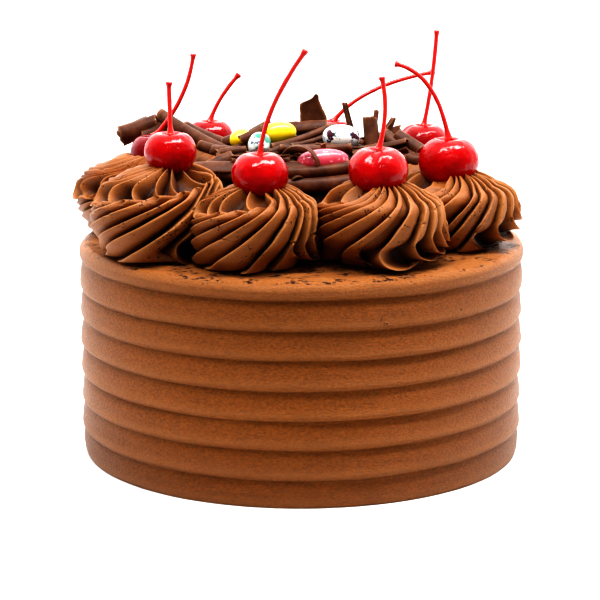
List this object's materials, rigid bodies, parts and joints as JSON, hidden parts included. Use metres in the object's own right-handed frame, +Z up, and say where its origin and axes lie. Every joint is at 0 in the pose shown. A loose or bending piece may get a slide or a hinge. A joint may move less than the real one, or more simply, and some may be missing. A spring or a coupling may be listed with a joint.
{
  "type": "chocolate rum cake",
  "caption": "Round uncut chocolate cake with a comb-ribbed iced side, a ring of piped swirls each topped with a stemmed cherry, and a nest of chocolate curls holding sugar-shelled pebbles",
  "frame": {"origin": "centre of the cake's flat base, on the surface it rests on", "axes": "+Z up, +X to the right as seen from the front, +Y to the back"},
  "size_m": [0.2024, 0.2, 0.1892],
  "materials": {
    "icing": "soft matte chocolate icing",
    "cream": "soft matte piped chocolate cream",
    "cherry": "glossy syrup glaze",
    "stem": "satin red",
    "dark_chocolate": "satin dark chocolate",
    "yellow_shell": "polished sugar shell",
    "green_shell": "polished sugar shell, white speckled with green",
    "white_shell": "polished sugar shell, speckled",
    "pink_shell": "polished sugar shell"
  },
  "bodies": {
    "root": {"cake": "icing", "swirl_1": "cream", "swirl_2": "cream", "swirl_3": "cream", "swirl_4": "cream", "swirl_5": "cream", "swirl_6": "cream", "swirl_7": "cream", "swirl_8": "cream", "cherry_1": "cherry", "cherry_2": "cherry", "cherry_3": "cherry", "cherry_4": "cherry", "cherry_5": "cherry", "cherry_6": "cherry", "cherry_7": "cherry", "cherry_8": "cherry", "cherry_stem_1": "stem", "cherry_stem_2": "stem", "cherry_stem_3": "stem", "cherry_stem_4": "stem", "cherry_stem_5": "stem", "cherry_stem_6": "stem", "cherry_stem_7": "stem", "cherry_stem_8": "stem", "chocolate_curls": "dark_chocolate", "pebble_yellow": "yellow_shell", "pebble_lemon": "yellow_shell", "pebble_green": "green_shell", "pebble_white": "white_shell", "pebble_pink": "pink_shell"}
  },
  "joints": []
}
